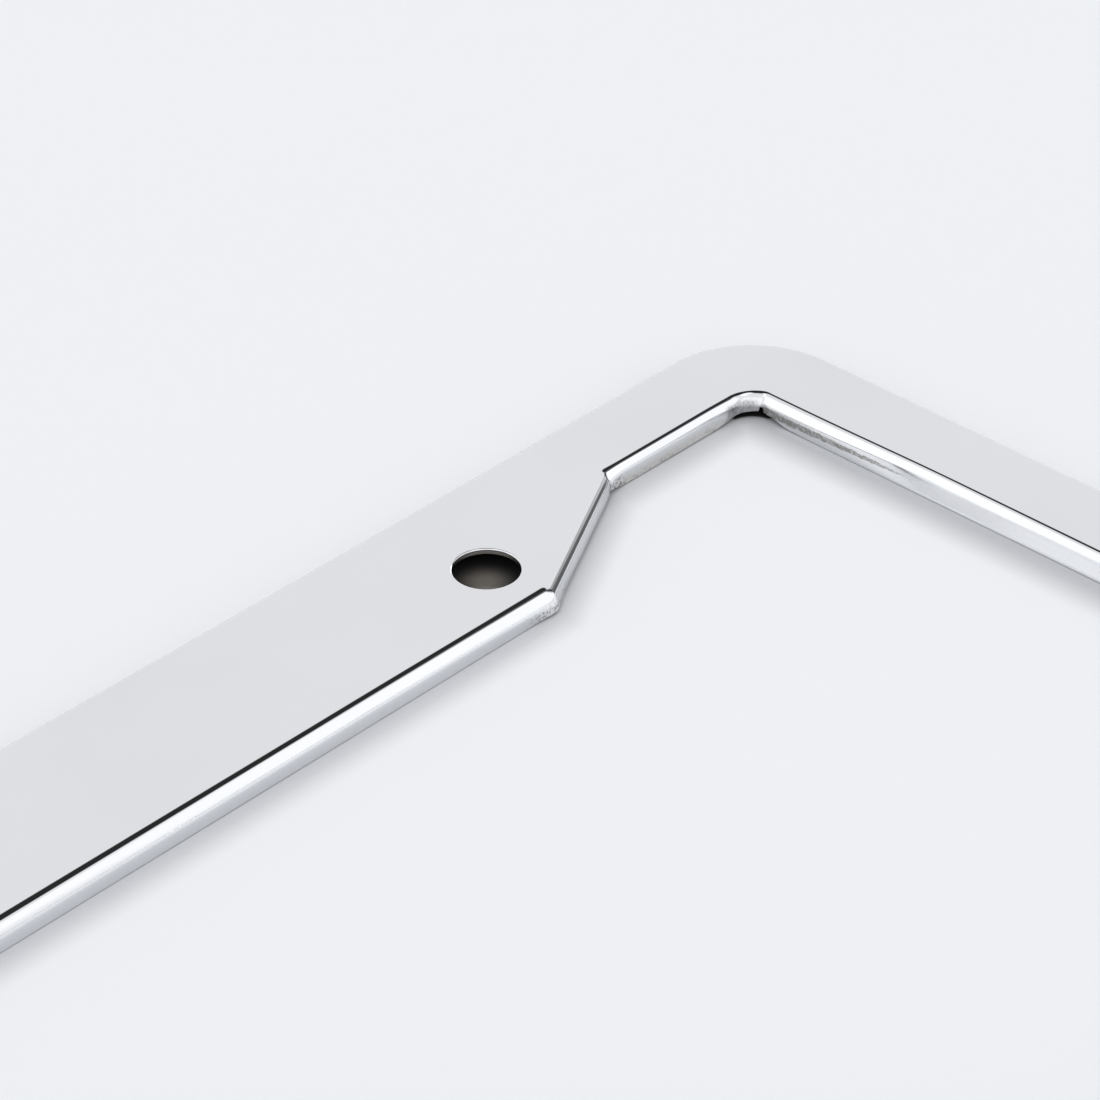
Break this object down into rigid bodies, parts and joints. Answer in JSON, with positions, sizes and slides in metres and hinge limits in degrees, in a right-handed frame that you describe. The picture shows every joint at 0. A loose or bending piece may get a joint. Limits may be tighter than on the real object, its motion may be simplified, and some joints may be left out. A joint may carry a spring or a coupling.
{
  "type": "number plate holder",
  "caption": "Number plate frame pressed from polished sheet steel: folded inner and outer edges, wide middle rails that step in beside the corners, and bolt holes in the top rail.",
  "frame": {"origin": "bottom centre of the bounding box: the middle of the plane that both flanges stand on", "axes": "+X along the length of the frame, +Y towards the rail with the bolt holes, +Z out of the polished face"},
  "size_m": [0.311, 0.16, 0.0032],
  "materials": {
    "polished_steel": "mirror polished stainless steel"
  },
  "bodies": {
    "root": {"plate_frame": "polished_steel"}
  },
  "joints": []
}
